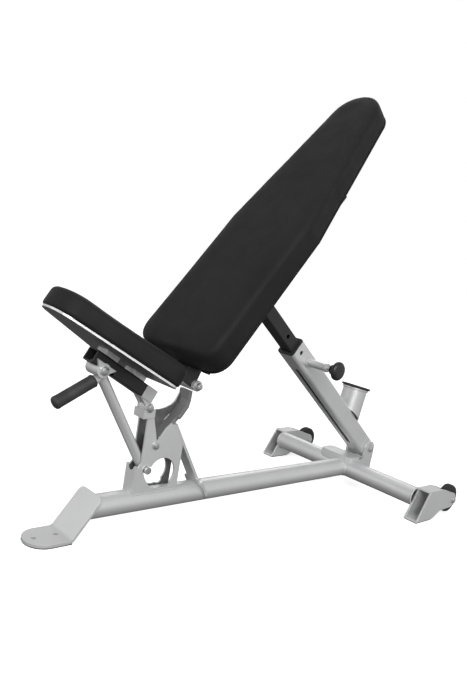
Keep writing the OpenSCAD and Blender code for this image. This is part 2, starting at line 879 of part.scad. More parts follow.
module seat_cushion() {
    color("black") in_seat() translate([0, 0, seat_under + seat_plate_t])
        linear_extrude(seat_pad_t) seat_plan();
}

module seat_plate() {
    color("lightgray") in_seat() translate([0, 0, seat_under])
        linear_extrude(seat_plate_t) seat_plan(8);
}

seat_beam_w = 40;
seat_beam_h = 32;
seat_beam_x0 = 42;

module seat_beam() {
    low = beam_top - seat_beam_h;
    color("black") in_seat() difference() {
        translate([0, 0, beam_top - seat_beam_h / 2])
            box_tube(seat_beam_x0, prop_arm + 36, seat_beam_w, seat_beam_h, 3, 4);
        across(prop_at, prop_sleeve_d + 4, 100);
        translate([prop_arm - 34, -50, low - 5]) cube([34, 100, 12]);
    }
}

module seat_end_block() {
    color("silver") in_seat() translate([seat_beam_x0 - 36, -seat_beam_w / 2, beam_top - seat_beam_h])
        cube([36, seat_beam_w, seat_beam_h]);
}

module seat_spacers() {
    color("gray") in_seat() for (x = [seat_beam_x0 + 16, prop_arm - 24])
        translate([x, -seat_beam_w / 2, beam_top]) cube([40, seat_beam_w, seat_under - beam_top]);
}

seat_ear_y = knuckle_w / 2 + 0.5;
beam_top = seat_under - 12;

// The hinge's two ears, either side of the collar's knuckle
module seat_hinge_sleeve() {
    color("lightgray") in_seat() for (s = [-1, 1]) side_plate(s * (seat_ear_y + 3), 6) difference() {
        union() {
            circle(d = seat_sleeve_d, $fn = round_fn);
            polygon([[-12, 0], [2, beam_top - seat_beam_h], [40, beam_top - seat_beam_h], [12, -2]]);
        }
        circle(d = bolt_d + 2 * run_fit, $fn = round_fn);
    }
}

module seat_pivot_bolt() {
    color("gray") {
        across(seat_pivot, bolt_d, 2 * (seat_ear_y + 7));
        for (s = [-1, 1]) hex_across(seat_pivot, 17, 7, s * (seat_ear_y + 6 + fit + 3.5));
    }
}

clevis_in = 20.2;

module seat_clevis() {
    drop = beam_top - seat_beam_h - prop_at.y;
    color("black") in_seat() for (s = [-1, 1]) side_plate(s * (clevis_in + 3), 6) difference() {
        union() {
            translate(prop_at) circle(r = 17, $fn = round_fn);
            polygon([prop_at + [-17, 0], prop_at + [-17, drop], prop_at + [-30, drop + 14],
                prop_at + [30, drop + 14], prop_at + [17, drop], prop_at + [17, 0]]);
            }
        translate(prop_at) circle(d = bolt_d, $fn = round_fn);
    }
}

module seat_clevis_bolt() {
    color("gray") {
        across(prop_pivot, bolt_d, 2 * clevis_in + 12);
        for (s = [-1, 1]) hex_across(prop_pivot, 19, 7, s * (clevis_in + 6 + 3.5));
    }
}

// --- prop and handle: one bell crank ------------------------------------

prop_tube_d = 25;
prop_sleeve_d = 34;
handle_dir = 209;
handle_start = 20;       // from the prop's axis to the grip
handle_root = prop_pivot + 22 * [cos(prop_dir), sin(prop_dir)];

module prop_sleeve() {
    color("silver") across_tube(prop_pivot, prop_sleeve_d, bolt_d + 2 * run_fit, 2 * clevis_in - 1);
}

module prop_tube() {
    color("silver") difference() {
        along(prop_pivot, prop_dir) rotate([0, 90, 0])
            cylinder(d = prop_tube_d, h = prop_len + 6, $fn = round_fn);
        across(prop_pivot, prop_sleeve_d, 200);
        across(notch_up, prop_pin_d, 200);
    }
}

module prop_pin() {
    color("gray") across(notch_up, prop_pin_d, upright_w + 16);
}

// The rod's collar is welded to the prop just under its sleeve
module handle_rod() {
    color("silver") difference() {
        along(handle_root, handle_dir) rotate([0, 90, 0]) {
            cylinder(d = 16, h = handle_start + grip_len - 6, $fn = round_fn);
            cylinder(d = 23, h = handle_start, $fn = round_fn);
        }
        along(prop_pivot, prop_dir) rotate([0, 90, 0])
            cylinder(d = prop_tube_d, h = prop_len, $fn = round_fn);
        across(prop_pivot, prop_sleeve_d, 200);
    }
}

module handle_grip() {
    color("black") difference() {
        along(handle_root, handle_dir) rotate([0, 90, 0]) translate([0, 0, handle_start])
            cylinder(d = grip_d, h = grip_len, $fn = round_fn);
        along(handle_root, handle_dir) rotate([0, 90, 0])
            cylinder(d = 16, h = handle_start + grip_len - 6, $fn = round_fn);
    }
}

// --- drawing -------------------------------------------------------------

spine_tube();
front_foot();
front_foot_pad();
cross_tube();
bracket_left();
bracket_right();
rear_foot_pads();
wheel_axles();
wheel_tyre_left();
wheel_hub_left();
wheel_tyre_right();
wheel_hub_right();
upright_plate_left();
upright_plate_right();
upright_toe_plate();
upright_collar();
upright_brace();
upright_tie_bolt();
horn();
horn_eye();
back_pivot_bolt();
seat_pivot_bolt();
junction_plinth();
strut_ears();
strut_foot_bolt();
back_cushion();
back_board();
back_rails();
back_hinge_sleeve();
back_hinge_bracket();
back_slot_plates();
back_stop_beam();
back_pad_screws();
strut_outer_tube();
strut_foot_bush();
strut_foot_plug();
strut_mouth_bush();
stop_post();
stop_flange();
stop_cap();
pop_housing();
pop_spring();
pop_plunger();
pop_knob();
strut_inner_tube();
strut_inner_plug();
strut_top_pin();
seat_cushion();
seat_plate();
seat_beam();
seat_spacers();
seat_end_block();
seat_hinge_sleeve();
seat_clevis();
seat_clevis_bolt();
prop_sleeve();
prop_tube();
prop_pin();
handle_rod();
handle_grip();
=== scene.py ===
# Adjustable weight bench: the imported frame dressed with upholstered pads,
# turned and bolted hardware, weld beads and painted, plated and moulded finishes.
from math import cos, pi, radians, sin, sqrt

import bmesh
import bpy
from mathutils import Matrix, Vector, noise


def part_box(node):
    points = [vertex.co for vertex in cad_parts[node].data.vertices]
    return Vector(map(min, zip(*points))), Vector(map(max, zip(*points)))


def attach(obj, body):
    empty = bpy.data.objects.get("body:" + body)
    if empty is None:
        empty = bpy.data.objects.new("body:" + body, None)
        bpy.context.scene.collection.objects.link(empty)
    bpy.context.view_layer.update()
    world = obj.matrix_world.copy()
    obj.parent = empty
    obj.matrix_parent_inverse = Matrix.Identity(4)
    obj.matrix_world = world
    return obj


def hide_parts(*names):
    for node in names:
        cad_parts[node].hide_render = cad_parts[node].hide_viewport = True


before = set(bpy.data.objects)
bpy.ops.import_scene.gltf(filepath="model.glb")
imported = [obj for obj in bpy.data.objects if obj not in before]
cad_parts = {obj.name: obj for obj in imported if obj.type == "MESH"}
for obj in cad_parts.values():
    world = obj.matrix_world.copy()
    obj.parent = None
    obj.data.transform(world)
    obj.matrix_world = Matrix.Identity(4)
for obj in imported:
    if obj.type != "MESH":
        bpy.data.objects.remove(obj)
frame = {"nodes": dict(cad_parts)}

scene = bpy.context.scene
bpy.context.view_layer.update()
nodes = frame["nodes"]

# ---------------------------------------------------------------- stations

BACK_HINGE = Vector((-0.2562, 0, 0.362))
BACK_TILT = 52.7
SEAT_HINGE = Vector((-0.3777, 0, 0.3047))
SEAT_TILT = 29.0
HANDLE_DIR = 209.0
STOP_TILT = 10.618       # the strut's swing from full incline to level
FRAME_TUBE_R = 0.029
FRAME_TUBE_Z = 0.063
CROSS_X = 0.4808
BOARD_TOP = 0.0515       # back pad, square to the backrest
BACK_PAD_TOP = 0.1190
SEAT_PLATE_TOP = 0.060   # seat pad, square to the seat
SEAT_PAD_TOP = 0.1085
AXLE = Vector((0.6318, 0.3025, 0.049))
WEB_SLOPE = radians(53.35)


def middle(node):
    """The centre of a frame node's box."""
    low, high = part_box(node)
    return (Vector(low) + Vector(high)) / 2


def frame_at(origin, x_axis, z_axis):
    """A matrix whose x and z axes point as given, with its origin in place."""
    x, z = Vector(x_axis).normalized(), Vector(z_axis).normalized()
    y = z.cross(x)
    turn = Matrix((x, y, z)).transposed().to_4x4()
    return Matrix.Translation(origin) @ turn


def sloped(origin, angle):
    """Local x rises at angle in the side view, and local z is square to it."""
    a = radians(angle)
    return frame_at(origin, (cos(a), 0, sin(a)), (-sin(a), 0, cos(a)))


def pointing(origin, axis):
    """Local z points along axis."""
    turn = Vector((0, 0, 1)).rotation_difference(Vector(axis)).to_matrix().to_4x4()
    return Matrix.Translation(origin) @ turn


IN_BACK = sloped(BACK_HINGE, BACK_TILT)
IN_SEAT = frame_at(SEAT_HINGE, (-cos(radians(SEAT_TILT)), 0, sin(radians(SEAT_TILT))),
                   (sin(radians(SEAT_TILT)), 0, cos(radians(SEAT_TILT))))

# --------------------------------------------------------- camera and light


def studio():
    """Camera, pale floor and soft lights."""
    lens = bpy.data.cameras.new("camera")
    lens.lens = 34.97
    lens.sensor_width = 36.0
    camera = bpy.data.objects.new("camera", lens)
    right = Vector((0.7231, -0.6713, 0.1632))
    look = Vector((0.6906, 0.7086, -0.1450)).normalized()
    right = (right - look * right.dot(look)).normalized()
    up = right.cross(look)
    camera.matrix_world = Matrix.Translation((-1.3634, -1.2804, 0.7104)) @ Matrix(
        (right, up, -look)).transposed().to_4x4()
    scene.collection.objects.link(camera)
    scene.camera = camera

    floor = bmesh.new()
    bmesh.ops.create_grid(floor, x_segments=1, y_segments=1, size=40)
    mesh = bpy.data.meshes.new("studio_floor")
    floor.to_mesh(mesh)
    floor.free()
    ground = bpy.data.objects.new("studio_floor", mesh)
    scene.collection.objects.link(ground)
    mesh.materials.append(floor_paper())
    ground.visible_diffuse = False
    ground.visible_glossy = False

    def softbox(name, at, aim, size, power, tint=(1, 1, 1)):
        lamp = bpy.data.lights.new(name, "AREA")
        lamp.shape = "RECTANGLE"
        lamp.size, lamp.size_y = size
        lamp.energy = power
        lamp.color = tint
        body = bpy.data.objects.new(name, lamp)
        body.matrix_world = pointing(at, Vector(at) - Vector(aim))
        scene.collection.objects.link(body)

    softbox("key_softbox", (-1.4, -2.6, 1.9), (0, 0, 0.4), (2.2, 1.6), 72)
    softbox("side_softbox", (-2.8, 0.8, 1.6), (0, 0, 0.5), (1.6, 1.8), 12)
    softbox("top_softbox", (0.2, 0.2, 3.2), (0, 0, 0.3), (2.6, 2.6), 12)
    softbox("rim_softbox", (2.2, 1.8, 2.2), (0, 0, 0.5), (1.6, 1.2), 12)

    world = bpy.data.worlds.new("studio_world")
    world.use_nodes = True
    tree = world.node_tree
    sky = tree.nodes["Background"]
    seen = tree.nodes.new("ShaderNodeBackground")
    heading = tree.nodes.new("ShaderNodeTexCoord")
    height = tree.nodes.new("ShaderNodeSeparateXYZ")
    fade = tree.nodes.new("ShaderNodeValToRGB")
    stops = fade.color_ramp.elements
    for k, (place, tone) in enumerate(((0.22, 0.08), (0.42, 0.50), (0.54, 0.72), (0.95, 0.36))):
        stop = stops[k] if k < 2 else stops.new(place)
        stop.position = place
        stop.color = (tone, tone, tone, 1)
    half = tree.nodes.new("ShaderNodeMapRange")
    half.inputs["From Min"].default_value = -1.0
    tree.links.new(heading.outputs["Generated"], height.inputs["Vector"])
    tree.links.new(height.outputs["Z"], half.inputs["Value"])
    tree.links.new(half.outputs["Result"], fade.inputs["Fac"])
    tree.links.new(fade.outputs["Color"], sky.inputs["Color"])
    seen.inputs["Color"].default_value = (1.0, 1.0, 1.0, 1)
    choice = tree.nodes.new("ShaderNodeMixShader")
    rays = tree.nodes.new("ShaderNodeLightPath")
    tree.links.new(rays.outputs["Is Camera Ray"], choice.inputs["Fac"])
    tree.links.new(sky.outputs["Background"], choice.inputs[1])
    tree.links.new(seen.outputs["Background"], choice.inputs[2])
    tree.links.new(choice.outputs["Shader"], tree.nodes["World Output"].inputs["Surface"])
    scene.world = world
    scene.view_settings.view_transform = "Standard"
    scene.view_settings.look = "None"


# --------------------------------------------------------------- materials


class Finish:
    """A material with its shader and a few ways to add nodes to it."""

    def __init__(self, name, colour, roughness, metallic=0.0):
        self.material = bpy.data.materials.new(name)
        self.material.use_nodes = True
        self.material.diffuse_color = (*colour, 1)
        self.nodes = self.material.node_tree.nodes
        self.links = self.material.node_tree.links
        self.shader = self.nodes["Principled BSDF"]
        self.shader.inputs["Base Color"].default_value = (*colour, 1)
        self.shader.inputs["Roughness"].default_value = roughness
        self.shader.inputs["Metallic"].default_value = metallic
        self.coords = self.nodes.new("ShaderNodeTexCoord").outputs["Object"]

    def stretched(self, scale, turn=(0, 0, 0)):
        node = self.nodes.new("ShaderNodeMapping")
        node.inputs["Scale"].default_value = scale
        node.inputs["Rotation"].default_value = [radians(a) for a in turn]
        self.links.new(self.coords, node.inputs["Vector"])
        return node.outputs["Vector"]

    def noise(self, scale, detail=3.0, rough=0.5, where=None):
        node = self.nodes.new("ShaderNodeTexNoise")
        node.inputs["Scale"].default_value = scale
        node.inputs["Detail"].default_value = detail
        node.inputs["Roughness"].default_value = rough
        self.links.new(where or self.coords, node.inputs["Vector"])
        return node.outputs["Fac"]

    def cells(self, scale, feature="F1", where=None):
        node = self.nodes.new("ShaderNodeTexVoronoi")
        node.feature = feature
        node.inputs["Scale"].default_value = scale
        self.links.new(where or self.coords, node.inputs["Vector"])
        return node.outputs["Distance"]

    def ramp(self, value, stops):
        node = self.nodes.new("ShaderNodeValToRGB")
        ends = node.color_ramp.elements
        for k, (place, colour) in enumerate(stops):
            stop = ends[k] if k < 2 else ends.new(place)
            stop.position = place
            stop.color = (*colour, 1) if isinstance(colour, tuple) else (colour,) * 3 + (1,)
        self.links.new(value, node.inputs["Fac"])
        return node.outputs["Color"]

    def between(self, value, low, high, start=0.0, end=1.0):
        node = self.nodes.new("ShaderNodeMapRange")
        for key, number in zip(("From Min", "From Max", "To Min", "To Max"), (start, end, low, high)):
            node.inputs[key].default_value = number
        self.links.new(value, node.inputs["Value"])
        return node.outputs["Result"]

    def math(self, kind, a, b):
        node = self.nodes.new("ShaderNodeMath")
        node.operation = kind
        for socket, item in zip(node.inputs, (a, b)):
            if isinstance(item, (int, float)):
                socket.default_value = item
            else:
                self.links.new(item, socket)
        return node.outputs["Value"]

    def mix(self, amount, a, b):
        node = self.nodes.new("ShaderNodeMix")
        node.data_type = "RGBA"
        self.links.new(amount, node.inputs["Factor"])
        for key, item in ((6, a), (7, b)):
            if isinstance(item, tuple):
                node.inputs[key].default_value = (*item, 1)
            else:
                self.links.new(item, node.inputs[key])
        return node.outputs[2]

    def worn_edge(self, radius, softness=0.35):
        """0 on the flats and 1 along sharp edges, with the rounded normal."""
        node = self.nodes.new("ShaderNodeBevel")
        node.samples = 6
        node.inputs["Radius"].default_value = radius
        flat = self.nodes.new("ShaderNodeNewGeometry")
        dot = self.nodes.new("ShaderNodeVectorMath")
        dot.operation = "DOT_PRODUCT"
        self.links.new(node.outputs["Normal"], dot.inputs[0])
        self.links.new(flat.outputs["Normal"], dot.inputs[1])
        return self.between(dot.outputs["Value"], 1.0, 0.0, 1.0 - softness, 0.995), node.outputs["Normal"]

    def bump(self, height, strength, distance, normal=None):
        node = self.nodes.new("ShaderNodeBump")
        node.inputs["Strength"].default_value = strength
        node.inputs["Distance"].default_value = distance
        self.links.new(height, node.inputs["Height"])
        if normal is not None:
            self.links.new(normal, node.inputs["Normal"])
        return node.outputs["Normal"]

    def wire(self, colour=None, roughness=None, normal=None):
        for key, source in (("Base Color", colour), ("Roughness", roughness), ("Normal", normal)):
            if source is not None:
                self.links.new(source, self.shader.inputs[key])
        return self.material


# dark and light tone, roughness, metallic, worn edge
SILVER_PAINT = ((0.60, 0.603, 0.607), (0.68, 0.683, 0.687), 0.37, 0.45, (0.90, 0.90, 0.90))


def floor_paper():
    f = Finish("studio_paper", (0.93, 0.93, 0.93), 0.85)
    f.shader.inputs["Emission Color"].default_value = (1, 1, 1, 1)
    f.shader.inputs["Emission Strength"].default_value = 0.62
    tone = f.ramp(f.noise(3.0), [(0.3, (0.92, 0.92, 0.92)), (0.7, (0.94, 0.94, 0.94))])
    return f.wire(tone, normal=f.bump(f.noise(900), 0.04, 0.0004))


def powder_coat(name, dark, light, rough, metallic, edge_tone, speck=0.05):
    """Sprayed and baked paint: orange peel, fine flake, thin worn edges."""
    f = Finish(name, light, rough, metallic)
    cloud = f.noise(5.0, 4.0)
    flake = f.noise(1400.0, 1.0)
    tone = f.ramp(cloud, [(0.3, dark), (0.7, light)])
    flecked = f.mix(f.between(flake, 0.0, speck * 4, 0.35, 0.75), tone, edge_tone)
    edge, rounded = f.worn_edge(0.0012)
    chips = f.between(f.noise(140.0, 4.0, 0.65), 0.0, 1.0, 0.46, 0.62)
    wear = f.math("MULTIPLY", edge, f.math("ADD", f.math("MULTIPLY", chips, 0.5), 0.3))
    colour = f.mix(wear, flecked, edge_tone)
    scuff = f.noise(90.0, 5.0, 0.6, f.stretched((1, 1, 9), (0, 35, 20)))
    gloss = f.between(scuff, rough - 0.05, rough + 0.12, 0.35, 0.75)
    peel = f.bump(f.noise(420.0, 2.0), 0.10, 0.0006, rounded)
    return f.wire(colour, gloss, peel)


def silver_with_inner_shade():
    """The same silver paint outside, with the inward face of the far plate painted dark grey as painted shade
    inside the column.
    """
    material = powder_coat("silver_inner_shade", *SILVER_PAINT)
    nodes, links = material.node_tree.nodes, material.node_tree.links
    shader = nodes["Principled BSDF"]
    paint = shader.inputs["Base Color"].links[0].from_socket
    # Faces turned to the near side, into the column, are mixed to dark greys: painted shade where the far
    # plate sits in the column's shadow.
    facing = nodes.new("ShaderNodeVectorMath")
    facing.operation = "DOT_PRODUCT"
    facing.inputs[1].default_value = (0, -1, 0)
    links.new(nodes["Texture Coordinate"].outputs["Normal"], facing.inputs[0])
    inner = nodes.new("ShaderNodeMapRange")
    inner.inputs["From Min"].default_value = 0.6
    inner.inputs["From Max"].default_value = 0.9
    links.new(facing.outputs["Value"], inner.inputs["Value"])
    cloud = nodes.new("ShaderNodeTexNoise")
    cloud.inputs["Scale"].default_value = 28.0
    tone = nodes.new("ShaderNodeValToRGB")
    for stop, place, grey in zip(tone.color_ramp.elements, (0.3, 0.72), (0.10, 0.19)):
        stop.position = place
        stop.color = (grey, grey, grey, 1)
    links.new(nodes["Texture Coordinate"].outputs["Object"], cloud.inputs["Vector"])
    links.new(cloud.outputs["Fac"], tone.inputs["Fac"])
    mix = nodes.new("ShaderNodeMix")
    mix.data_type = "RGBA"
    links.new(inner.outputs["Result"], mix.inputs["Factor"])
    links.new(paint, mix.inputs[6])
    links.new(tone.outputs["Color"], mix.inputs[7])
    links.new(mix.outputs[2], shader.inputs["Base Color"])
    return material


def vinyl():
    """Black upholstery vinyl with a fine pressed leather grain."""
    f = Finish("black_vinyl", (0.013, 0.013, 0.0135), 0.5)
    f.shader.inputs["Specular IOR Level"].default_value = 0.12
    f.shader.inputs["Sheen Weight"].default_value = 0.02
    f.shader.inputs["Sheen Roughness"].default_value = 0.45
    hide = f.noise(7.0, 5.0, 0.6)
    tone = f.ramp(hide, [(0.3, (0.0125, 0.0125, 0.013)), (0.72, (0.0165, 0.0165, 0.017))])
    warped = f.cells(620.0, "DISTANCE_TO_EDGE")
    pores = f.noise(1500.0, 2.0)
    grain = f.math("ADD", f.between(warped, 0.0, 1.0, 0.0, 0.22), f.math("MULTIPLY", pores, 0.25))
    soft = f.bump(f.noise(38.0, 3.0), 0.10, 0.0022)
    gloss = f.between(f.noise(22.0, 4.0), 0.44, 0.60, 0.3, 0.7)
    return f.wire(tone, gloss, f.bump(grain, 0.28, 0.0004, soft))


def rubber(name, tone, rough, grain_scale=800.0, depth=0.2):
    f = Finish(name, tone, rough)
    f.shader.inputs["Specular IOR Level"].default_value = 0.35
    paler = tuple(c * 1.7 + 0.004 for c in tone)
    dusty = f.ramp(f.noise(16.0, 5.0, 0.6), [(0.35, tone), (0.75, paler)])
    edge, rounded = f.worn_edge(0.0010)
    colour = f.mix(f.math("MULTIPLY", edge, 0.35), dusty, tuple(c * 3 + 0.01 for c in tone))
    gloss = f.between(f.noise(60.0, 3.0), rough - 0.06, rough + 0.1, 0.3, 0.7)
    return f.wire(colour, gloss, f.bump(f.noise(grain_scale, 3.0), depth, 0.0005, rounded))


def plated(name, tone, rough, brush=(1, 60, 1)):
    """Zinc plate: bright, slightly clouded, with fine turned lines."""
    f = Finish(name, tone, rough, 0.95)
    darker = tuple(c * 0.72 for c in tone)
    cloud = f.ramp(f.noise(70.0, 4.0, 0.6), [(0.3, darker), (0.7, tone)])
    edge, rounded = f.worn_edge(0.0006)
    colour = f.mix(f.math("MULTIPLY", edge, 0.5), cloud, tuple(min(1.0, c * 1.2) for c in tone))
    lines = f.noise(160.0, 3.0, 0.5, f.stretched(brush))
    gloss = f.between(lines, rough - 0.06, rough + 0.12, 0.3, 0.7)
    return f.wire(colour, gloss, f.bump(lines, 0.06, 0.0003, rounded))


def seat_plate_with_painted_shade():
    """Silver seat plate with its flats painted dark as painted shade under the seat, its cut edge left in the
    plate's silver.
    """
    f = Finish("seat_plate_shaded_steel", (0.10, 0.10, 0.102), 0.40, 0.6)
    # Faces square to the seat take the dark greys: painted shade for the plate's underside beneath the pad.
    square = f.nodes.new("ShaderNodeVectorMath")
    square.operation = "DOT_PRODUCT"
    square.inputs[1].default_value = (0.4848, 0.0, 0.8746)
    f.links.new(f.nodes["Texture Coordinate"].outputs["Normal"], square.inputs[0])
    flat = f.between(f.math("ABSOLUTE", square.outputs["Value"], 0.0), 0.0, 1.0, 0.45, 0.75)
    # Dark greys for the flats are painted shade; the edge faces keep the plate's own silver.
    cloud = f.noise(9.0, 4.0, 0.6)
    dark = f.ramp(cloud, [(0.3, (0.060, 0.060, 0.062)), (0.72, (0.120, 0.120, 0.122))])
    bright = f.ramp(f.noise(240.0), [(0.3, (0.62, 0.62, 0.62)), (0.7, (0.78, 0.78, 0.78))])
    edge, rounded = f.worn_edge(0.0012)
    colour = f.mix(flat, bright, dark)
    colour = f.mix(f.math("MULTIPLY", edge, 0.6), colour, (0.80, 0.80, 0.80))
    lines = f.noise(120.0, 3.0, 0.5, f.stretched((1, 30, 1)))
    return f.wire(colour, f.between(lines, 0.32, 0.48, 0.3, 0.7), f.bump(lines, 0.06, 0.0003, rounded))


def moulded(name, tone, rough):
    """Moulded nylon with a fine, slightly waxy skin."""
    f = Finish(name, tone, rough)
    f.shader.inputs["Coat Weight"].default_value = 0.08
    f.shader.inputs["Coat Roughness"].default_value = 0.3
    colour = f.ramp(f.noise(30.0, 4.0), [(0.35, tone), (0.75, tuple(c * 1.6 + 0.003 for c in tone))])
    edge, rounded = f.worn_edge(0.0008)
    spark = f.bump(f.cells(1300.0), 0.12, 0.0003, rounded)
    worn = f.mix(f.math("MULTIPLY", edge, 0.3), colour, tuple(c * 3 + 0.02 for c in tone))
    return f.wire(worn, f.between(f.noise(45.0, 3.0), rough - 0.05, rough + 0.1), spark)


def faced_board():
    """Plywood with a black face: long open grain and a few pale scuffs."""
    f = Finish("black_ply", (0.035, 0.032, 0.029), 0.62)
    grain = f.noise(26.0, 6.0, 0.62, f.stretched((1, 14, 14), (0, BACK_TILT, 0)))
    colour = f.ramp(grain, [(0.32, (0.016, 0.015, 0.014)), (0.62, (0.040, 0.037, 0.033)),
                            (0.86, (0.085, 0.078, 0.068))])
    edge, rounded = f.worn_edge(0.0008)
    return f.wire(colour, f.between(grain, 0.52, 0.75), f.bump(grain, 0.18, 0.0007, rounded))


SILVER = powder_coat("silver_powder", *SILVER_PAINT)
# Horn: a dark grey copy of the silver paint, painted shade for the horn lying in the shadow under the pads.
powder_coat("horn_shaded_silver", (0.17, 0.17, 0.172), (0.25, 0.25, 0.255), 0.40, 0.5,
            (0.70, 0.70, 0.70))
powder_coat("black_powder", (0.010, 0.010, 0.0105), (0.017, 0.017, 0.0175), 0.44, 0.0,
            (0.12, 0.12, 0.12), 0.02)
WELD = powder_coat("weld_silver", (0.58, 0.58, 0.585), (0.66, 0.66, 0.665), 0.40, 0.45,
                   (0.88, 0.88, 0.88))
silver_with_inner_shade()
VINYL = vinyl()
RUBBER = rubber("foot_rubber", (0.018, 0.018, 0.018), 0.72)
GRIP = rubber("grip_rubber", (0.030, 0.030, 0.031), 0.60, 520.0, 0.35)
TYRE = rubber("tyre_rubber", (0.020, 0.020, 0.020), 0.58, 900.0, 0.15)
ZINC = plated("zinc_plate", (0.74, 0.745, 0.75), 0.30)
seat_plate_with_painted_shade()
plated("spring_wire", (0.42, 0.42, 0.43), 0.36)
moulded("black_nylon", (0.018, 0.018, 0.019), 0.48)
KNOB = moulded("knob_plastic", (0.014, 0.014, 0.015), 0.36)
HUB = moulded("hub_nylon", (0.30, 0.30, 0.305), 0.50)
faced_board()

# ------------------------------------------------------------- mesh helpers


def add_piece(name, bm, finish, body, instead=(), angle=38, smooth=True):
    """Turns a bmesh into a named piece that rides on a body of the frame."""
    mesh = bpy.data.meshes.new(name)
    bm.to_mesh(mesh)
    bm.free()
    if smooth:
        mesh.shade_smooth()
        mesh.set_sharp_from_angle(angle=radians(angle))
    mesh.materials.append(finish)
    obj = bpy.data.objects.new(name, mesh)
    scene.collection.objects.link(obj)
    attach(obj, body)
    if instead:
        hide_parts(*instead)
    return obj


def placed(bm, matrix):
    bmesh.ops.transform(bm, matrix=matrix, verts=bm.verts)
    return bm


def turned(profile, matrix=Matrix(), steps=48):
    """A lathe shape: (radius, height) points spun once about local z."""
    bm = bmesh.new()
    points = [bm.verts.new((r, 0, h)) for r, h in profile]
    edges = [bm.edges.new(pair) for pair in zip(points, points[1:])]
    bmesh.ops.spin(bm, geom=points + edges, cent=(0, 0, 0), axis=(0, 0, 1),
                   angle=2 * pi, steps=steps, use_merge=True)
    bmesh.ops.remove_doubles(bm, verts=bm.verts, dist=1e-6)
    bmesh.ops.recalc_face_normals(bm, faces=bm.faces)
    return placed(bm, matrix)


def soften(bm, edges, width, segments=2):
    bmesh.ops.bevel(bm, geom=list(edges), offset=width, offset_type="OFFSET", segments=segments,
                    profile=0.5, affect="EDGES", material=-1, clamp_overlap=True)


def block(size, matrix=Matrix(), round_off=0.001, segments=2):
    bm = bmesh.new()
    bmesh.ops.create_cube(bm, size=1, matrix=Matrix.Diagonal((*size, 1)))
    soften(bm, bm.edges, round_off, segments)
    return placed(bm, matrix)


def joined(*parts):
    """One bmesh from several."""
    whole = bmesh.new()
    for part in parts:
        holder = bpy.data.meshes.new("part")
        part.to_mesh(holder)
        part.free()
        whole.from_mesh(holder)
        bpy.data.meshes.remove(holder)
    return whole


def rounded_profile(r, low, high, corner, bore=0.0, steps=4):
    """A closed ring section with rounded outer corners."""
    points = [(bore, low)]
    for k in range(steps + 1):
        a = pi / 2 * k / steps
        points.append((r - corner + corner * sin(a), low + corner - corner * cos(a)))
    for k in range(steps + 1):
        a = pi / 2 * k / steps
        points.append((r - corner + corner * cos(a), high - corner + corner * sin(a)))
    points.append((bore, high))
    if bore:
        points.append((bore, low))
    return points


def hex_head(matrix, flats, height, stub=0.0):
    """A chamfered hexagon with a domed top, and a threaded end if stub is set."""
    bm = bmesh.new()
    bmesh.ops.create_cone(bm, cap_ends=True, segments=6, radius1=flats / sqrt(3), radius2=flats / sqrt(3),
                          depth=height, matrix=Matrix.Translation((0, 0, height / 2)))
    top = [e for e in bm.edges if all(v.co.z > height * 0.9 for v in e.verts)]
    soften(bm, top, height * 0.20, 2)
    soften(bm, [e for e in bm.edges if abs(e.verts[0].co.z - e.verts[1].co.z) > height * 0.5], 0.0006, 2)
    parts = [bm]
    if stub:
        thread = [(0.0, height * 0.5)]
        r = flats * 0.30
        rings = 5
        for k in range(rings):
            z = height + stub * k / rings
            thread += [(r, z), (r * 0.90, z + stub / rings * 0.5)]
        thread += [(r * 0.8, height + stub), (0.0, height + stub)]
        parts.append(turned(thread, steps=24))
    else:
        parts.append(turned([(0.0, height), (flats * 0.28, height), (flats * 0.26, height + 0.0005),
                             (0.0, height + 0.0006)], steps=24))
    return placed(joined(*parts), matrix)


def washer(matrix, r, bore, thick):
    return turned(rounded_profile(r, 0, thick, thick * 0.35, bore, 3), matrix, 40)


def slab(discs, low, high):
    """The hull of upright discs (x, y, r), as one closed pad blank."""
    bm = bmesh.new()
    for x, y, r in discs:
        for z in (low, high):
            bmesh.ops.create_circle(bm, cap_ends=False, segments=56, radius=r,
                                    matrix=Matrix.Translation((x, y, z)))
    bmesh.ops.convex_hull(bm, input=bm.verts)
    bmesh.ops.delete(bm, geom=[e for e in bm.edges if not e.link_faces], context="EDGES")
    bmesh.ops.delete(bm, geom=[v for v in bm.verts if not v.link_faces], context="VERTS")
    bmesh.ops.dissolve_limit(bm, angle_limit=radians(0.8), verts=bm.verts, edges=bm.edges)
    bmesh.ops.recalc_face_normals(bm, faces=bm.faces)
    return bm


def rim_edges(bm, z):
    return [e for e in bm.edges if all(abs(v.co.z - z) < 1e-5 for v in e.verts)]


# ------------------------------------------------------------------- pads


